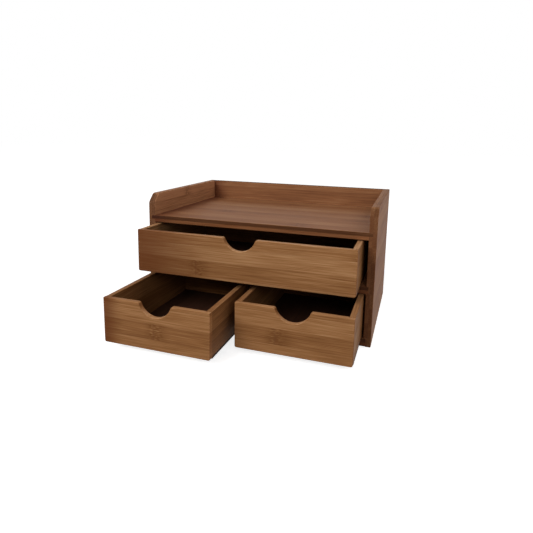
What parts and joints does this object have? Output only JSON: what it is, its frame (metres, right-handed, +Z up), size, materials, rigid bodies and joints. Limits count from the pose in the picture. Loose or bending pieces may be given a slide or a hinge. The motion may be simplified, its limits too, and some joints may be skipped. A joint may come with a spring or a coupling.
{
  "type": "desktop mini drawers",
  "caption": "Low bamboo desk cabinet: open tray on top, a wide drawer over small side-by-side drawers, half-round finger notches.",
  "frame": {"origin": "centre of the cabinet's underside, on the surface it stands on", "axes": "+X to the right as seen from the front, +Y to the back, +Z up; the drawers slide out along -Y"},
  "size_m": [0.325, 0.344, 0.182],
  "materials": {
    "cabinet_bamboo": "dark carbonised bamboo board, satin clear lacquer",
    "drawer_bamboo": "lighter carbonised bamboo board, satin clear lacquer",
    "drawer_bottom": "thin bamboo sheet, lightly sealed"
  },
  "bodies": {
    "cabinet": {"left_side_panel": "cabinet_bamboo", "right_side_panel": "cabinet_bamboo", "tray_board": "cabinet_bamboo", "middle_shelf": "cabinet_bamboo", "bottom_board": "cabinet_bamboo", "back_panel": "cabinet_bamboo", "centre_divider": "cabinet_bamboo"},
    "top_drawer": {"top_drawer_front": "drawer_bamboo", "top_drawer_left_side": "drawer_bamboo", "top_drawer_right_side": "drawer_bamboo", "top_drawer_back": "drawer_bamboo", "top_drawer_bottom": "drawer_bottom"},
    "left_drawer": {"left_drawer_front": "drawer_bamboo", "left_drawer_left_side": "drawer_bamboo", "left_drawer_right_side": "drawer_bamboo", "left_drawer_back": "drawer_bamboo", "left_drawer_bottom": "drawer_bottom"},
    "right_drawer": {"right_drawer_front": "drawer_bamboo", "right_drawer_left_side": "drawer_bamboo", "right_drawer_right_side": "drawer_bamboo", "right_drawer_back": "drawer_bamboo", "right_drawer_bottom": "drawer_bottom"}
  },
  "joints": [
    {"name": "top_drawer_slide", "type": "slide", "parent": "cabinet", "child": "top_drawer", "axis": [0, -1, 0], "range_m": [-0.048, 0.121]},
    {"name": "left_drawer_slide", "type": "slide", "parent": "cabinet", "child": "left_drawer", "axis": [0, -1, 0], "range_m": [-0.126, 0.043]},
    {"name": "right_drawer_slide", "type": "slide", "parent": "cabinet", "child": "right_drawer", "axis": [0, -1, 0], "range_m": [-0.083, 0.086]}
  ]
}
